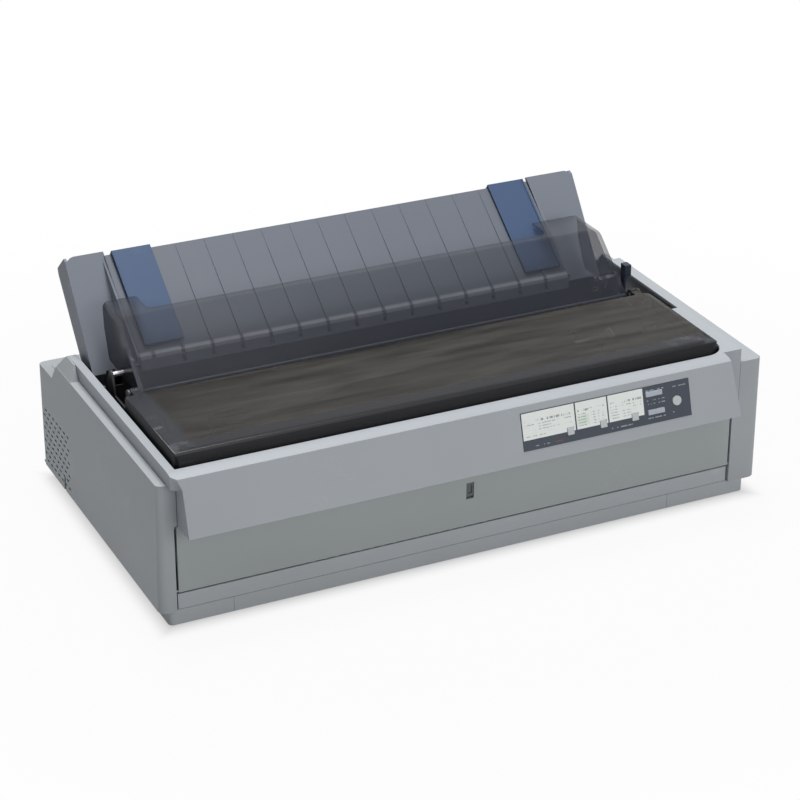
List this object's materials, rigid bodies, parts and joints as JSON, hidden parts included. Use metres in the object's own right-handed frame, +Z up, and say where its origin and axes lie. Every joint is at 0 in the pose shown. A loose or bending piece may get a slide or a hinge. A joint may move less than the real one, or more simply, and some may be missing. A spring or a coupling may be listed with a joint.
{
  "type": "wide-carriage dot matrix printer",
  "caption": "Wide impact printer with a tipping smoked printer cover and paper flap, tilting paper guide with sliding edge guides, platen drive, tractors and carriage",
  "frame": {"origin": "centre of the bounding box's footprint, on the surface the printer stands on", "axes": "+X to the right seen from the front, along the platen; +Y to the back; +Z up"},
  "size_m": [0.639, 0.361, 0.246],
  "materials": {
    "shell_upper": "fine moulded texture, cool light grey",
    "shell_lower": "fine moulded texture, grey",
    "shell_front": "smooth moulded grey with a slight green cast",
    "smoke": "clear smoked plastic",
    "guide_grey": "moulded blue-grey",
    "guide_blue": "moulded mid blue",
    "dark_plastic": "dark grey moulding",
    "lever_plastic": "dark blue-grey moulding",
    "frame_steel": "zinc-plated sheet steel",
    "bright_steel": "ground bright steel",
    "platen_rubber": "ground black rubber",
    "foot_rubber": "black rubber",
    "gear_plastic": "natural nylon",
    "motor_metal": "dark painted motor case",
    "plate_dark": "dark blue-grey panel film",
    "card_white": "off-white card",
    "key_grey": "light blue-grey key tops",
    "board_green": "green circuit board",
    "supply_grey": "components on a board",
    "socket_black": "black connector moulding"
  },
  "bodies": {
    "case": {"base_tray": "shell_lower", "rubber_feet": "foot_rubber", "lower_case": "shell_lower", "upper_case": "shell_upper", "front_skirt": "shell_front", "hinge_pins": "bright_steel", "side_frame_left": "frame_steel", "side_frame_right": "frame_steel", "cross_beams": "frame_steel", "platen_bushes": "gear_plastic", "feed_motor": "motor_metal", "tractor_rod": "bright_steel", "carriage_rod": "bright_steel", "carriage_rail": "frame_steel", "timing_belt": "platen_rubber", "carriage_motor": "motor_metal", "ribbon_cartridge": "dark_plastic", "control_plate": "plate_dark", "label_cards": "card_white", "main_board": "board_green", "power_supply": "supply_grey", "power_inlet": "socket_black", "data_ports": "socket_black", "case_screws": "bright_steel"},
    "front_cover": {"front_cover": "shell_front"},
    "cover_latch": {"cover_latch": "dark_plastic"},
    "printer_cover": {"printer_cover": "smoke"},
    "paper_flap": {"paper_flap": "smoke"},
    "paper_guide": {"guide_frame": "guide_grey", "guide_panel": "guide_grey"},
    "edge_guide_left": {"edge_guide_left": "guide_blue"},
    "edge_guide_right": {"edge_guide_right": "guide_blue"},
    "platen": {"platen_roller": "platen_rubber", "platen_shaft": "bright_steel", "platen_knob": "dark_plastic", "platen_gear": "gear_plastic"},
    "feed_idler_gear": {"feed_idler_gear": "gear_plastic"},
    "feed_pinion": {"feed_pinion": "bright_steel"},
    "tractor_idler_gear": {"tractor_idler_gear": "gear_plastic"},
    "tractor_drive": {"tractor_shaft": "bright_steel", "tractor_gear": "gear_plastic"},
    "pressure_rollers": {"pressure_rollers": "platen_rubber"},
    "tractor_left": {"tractor_left": "dark_plastic"},
    "tractor_right": {"tractor_right": "dark_plastic"},
    "tractor_cover_left": {"tractor_cover_left": "dark_plastic"},
    "tractor_cover_right": {"tractor_cover_right": "dark_plastic"},
    "carriage": {"carriage": "dark_plastic", "print_head": "motor_metal"},
    "drive_pulley": {"drive_pulley": "bright_steel"},
    "idler_pulley": {"idler_pulley": "gear_plastic"},
    "ribbon_knob": {"ribbon_knob": "lever_plastic"},
    "release_lever": {"release_lever": "lever_plastic"},
    "thickness_lever": {"thickness_lever": "lever_plastic"},
    "power_switch": {"power_switch": "socket_black"},
    "key_small_1": {"key_small_1": "key_grey"},
    "key_small_2": {"key_small_2": "key_grey"},
    "key_small_3": {"key_small_3": "key_grey"},
    "key_wide_upper": {"key_wide_upper": "key_grey"},
    "key_wide_lower": {"key_wide_lower": "key_grey"},
    "key_round": {"key_round": "key_grey"}
  },
  "joints": [
    {"name": "printer_cover_hinge", "type": "hinge", "parent": "case", "child": "printer_cover", "pos_m": [0, -0.0065, 0.167], "axis": [-1, 0, 0], "range_deg": [0, 80]},
    {"name": "paper_flap_hinge", "type": "hinge", "parent": "case", "child": "paper_flap", "pos_m": [0, 0.0405, 0.167], "axis": [1, 0, 0], "range_deg": [0, 25]},
    {"name": "paper_guide_tilt", "type": "hinge", "parent": "case", "child": "paper_guide", "pos_m": [0, 0.0985, 0.15], "axis": [-1, 0, 0], "range_deg": [0, 40]},
    {"name": "edge_guide_left_slide", "type": "slide", "parent": "paper_guide", "child": "edge_guide_left", "axis": [1, 0, 0], "range_m": [-0.006, 0.08]},
    {"name": "edge_guide_right_slide", "type": "slide", "parent": "paper_guide", "child": "edge_guide_right", "axis": [1, 0, 0], "range_m": [-0.2, 0]},
    {"name": "front_cover_hinge", "type": "hinge", "parent": "case", "child": "front_cover", "pos_m": [0, -0.14925, 0.03675], "axis": [1, 0, 0], "range_deg": [0, 80]},
    {"name": "cover_latch_slide", "type": "slide", "parent": "front_cover", "child": "cover_latch", "axis": [0, 0, -1], "range_m": [0, 0.002], "stiffness_N_per_m": 200},
    {"name": "platen_turn", "type": "hinge", "parent": "case", "child": "platen", "pos_m": [0, 0.0425, 0.098], "axis": [1, 0, 0], "continuous": true},
    {"name": "feed_idler_turn", "type": "hinge", "parent": "case", "child": "feed_idler_gear", "pos_m": [0, 0.02985, 0.06323], "axis": [1, 0, 0], "continuous": true},
    {"name": "feed_pinion_turn", "type": "hinge", "parent": "case", "child": "feed_pinion", "pos_m": [0, 0.02232, 0.04256], "axis": [1, 0, 0], "continuous": true},
    {"name": "tractor_idler_turn", "type": "hinge", "parent": "case", "child": "tractor_idler_gear", "pos_m": [0, 0.08197, 0.08364], "axis": [1, 0, 0], "continuous": true},
    {"name": "tractor_turn", "type": "hinge", "parent": "case", "child": "tractor_drive", "pos_m": [0, 0.11392, 0.07201], "axis": [1, 0, 0], "continuous": true},
    {"name": "pressure_roller_turn", "type": "hinge", "parent": "case", "child": "pressure_rollers", "pos_m": [0, 0.03844, 0.07495], "axis": [1, 0, 0], "continuous": true},
    {"name": "tractor_left_slide", "type": "slide", "parent": "case", "child": "tractor_left", "axis": [1, 0, 0], "range_m": [-0.03, 0.03]},
    {"name": "tractor_right_slide", "type": "slide", "parent": "case", "child": "tractor_right", "axis": [1, 0, 0], "range_m": [-0.28, 0.02]},
    {"name": "tractor_cover_left_hinge", "type": "hinge", "parent": "tractor_left", "child": "tractor_cover_left", "pos_m": [-0.2046, 0.11392, 0.08521], "axis": [0, -1, 0], "range_deg": [0, 80]},
    {"name": "tractor_cover_right_hinge", "type": "hinge", "parent": "tractor_right", "child": "tractor_cover_right", "pos_m": [0.1706, 0.11392, 0.08521], "axis": [0, 1, 0], "range_deg": [0, 80]},
    {"name": "carriage_slide", "type": "slide", "parent": "case", "child": "carriage", "axis": [1, 0, 0], "range_m": [-0.025, 0.35]},
    {"name": "drive_pulley_turn", "type": "hinge", "parent": "case", "child": "drive_pulley", "pos_m": [0.222, -0.0265, 0.082], "axis": [0, 0, 1], "range_deg": [-2494, 180]},
    {"name": "idler_pulley_turn", "type": "hinge", "parent": "case", "child": "idler_pulley", "pos_m": [-0.262, -0.0265, 0.082], "axis": [0, 0, 1], "range_deg": [-2494, 180]},
    {"name": "ribbon_knob_turn", "type": "hinge", "parent": "case", "child": "ribbon_knob", "pos_m": [-0.225, -0.0795, 0.1], "axis": [0, 0, 1], "continuous": true},
    {"name": "release_lever_swing", "type": "hinge", "parent": "case", "child": "release_lever", "pos_m": [0.2535, 0.0285, 0.128], "axis": [1, 0, 0], "range_deg": [0, 22]},
    {"name": "thickness_lever_swing", "type": "hinge", "parent": "case", "child": "thickness_lever", "pos_m": [-0.293, -0.0435, 0.108], "axis": [-1, 0, 0], "range_deg": [-12, 18]},
    {"name": "key_small_1_press", "type": "slide", "parent": "case", "child": "key_small_1", "axis": [0, 0.9622, -0.2723], "range_m": [0, 0.0008], "stiffness_N_per_m": 300},
    {"name": "key_small_2_press", "type": "slide", "parent": "case", "child": "key_small_2", "axis": [0, 0.9622, -0.2723], "range_m": [0, 0.0008], "stiffness_N_per_m": 300},
    {"name": "key_small_3_press", "type": "slide", "parent": "case", "child": "key_small_3", "axis": [0, 0.9622, -0.2723], "range_m": [0, 0.0008], "stiffness_N_per_m": 300},
    {"name": "key_wide_upper_press", "type": "slide", "parent": "case", "child": "key_wide_upper", "axis": [0, 0.9622, -0.2723], "range_m": [0, 0.0008], "stiffness_N_per_m": 300},
    {"name": "key_wide_lower_press", "type": "slide", "parent": "case", "child": "key_wide_lower", "axis": [0, 0.9622, -0.2723], "range_m": [0, 0.0008], "stiffness_N_per_m": 300},
    {"name": "key_round_press", "type": "slide", "parent": "case", "child": "key_round", "axis": [0, 0.9622, -0.2723], "range_m": [0, 0.0008], "stiffness_N_per_m": 300},
    {"name": "power_switch_rock", "type": "hinge", "parent": "case", "child": "power_switch", "pos_m": [0.2635, 0.1741, 0.0405], "axis": [-1, 0, 0], "range_deg": [0, 12]}
  ],
  "couplings": [
    {"joint": "feed_idler_turn", "follows": "platen_turn", "ratio": -1.4667},
    {"joint": "feed_pinion_turn", "follows": "platen_turn", "ratio": 3.1429},
    {"joint": "tractor_idler_turn", "follows": "platen_turn", "ratio": -1.1},
    {"joint": "tractor_turn", "follows": "platen_turn", "ratio": 1.5714},
    {"joint": "pressure_roller_turn", "follows": "platen_turn", "ratio": -2.8333},
    {"joint": "drive_pulley_turn", "follows": "carriage_slide", "rad_per_m": -124.22},
    {"joint": "idler_pulley_turn", "follows": "carriage_slide", "rad_per_m": -124.22}
  ]
}
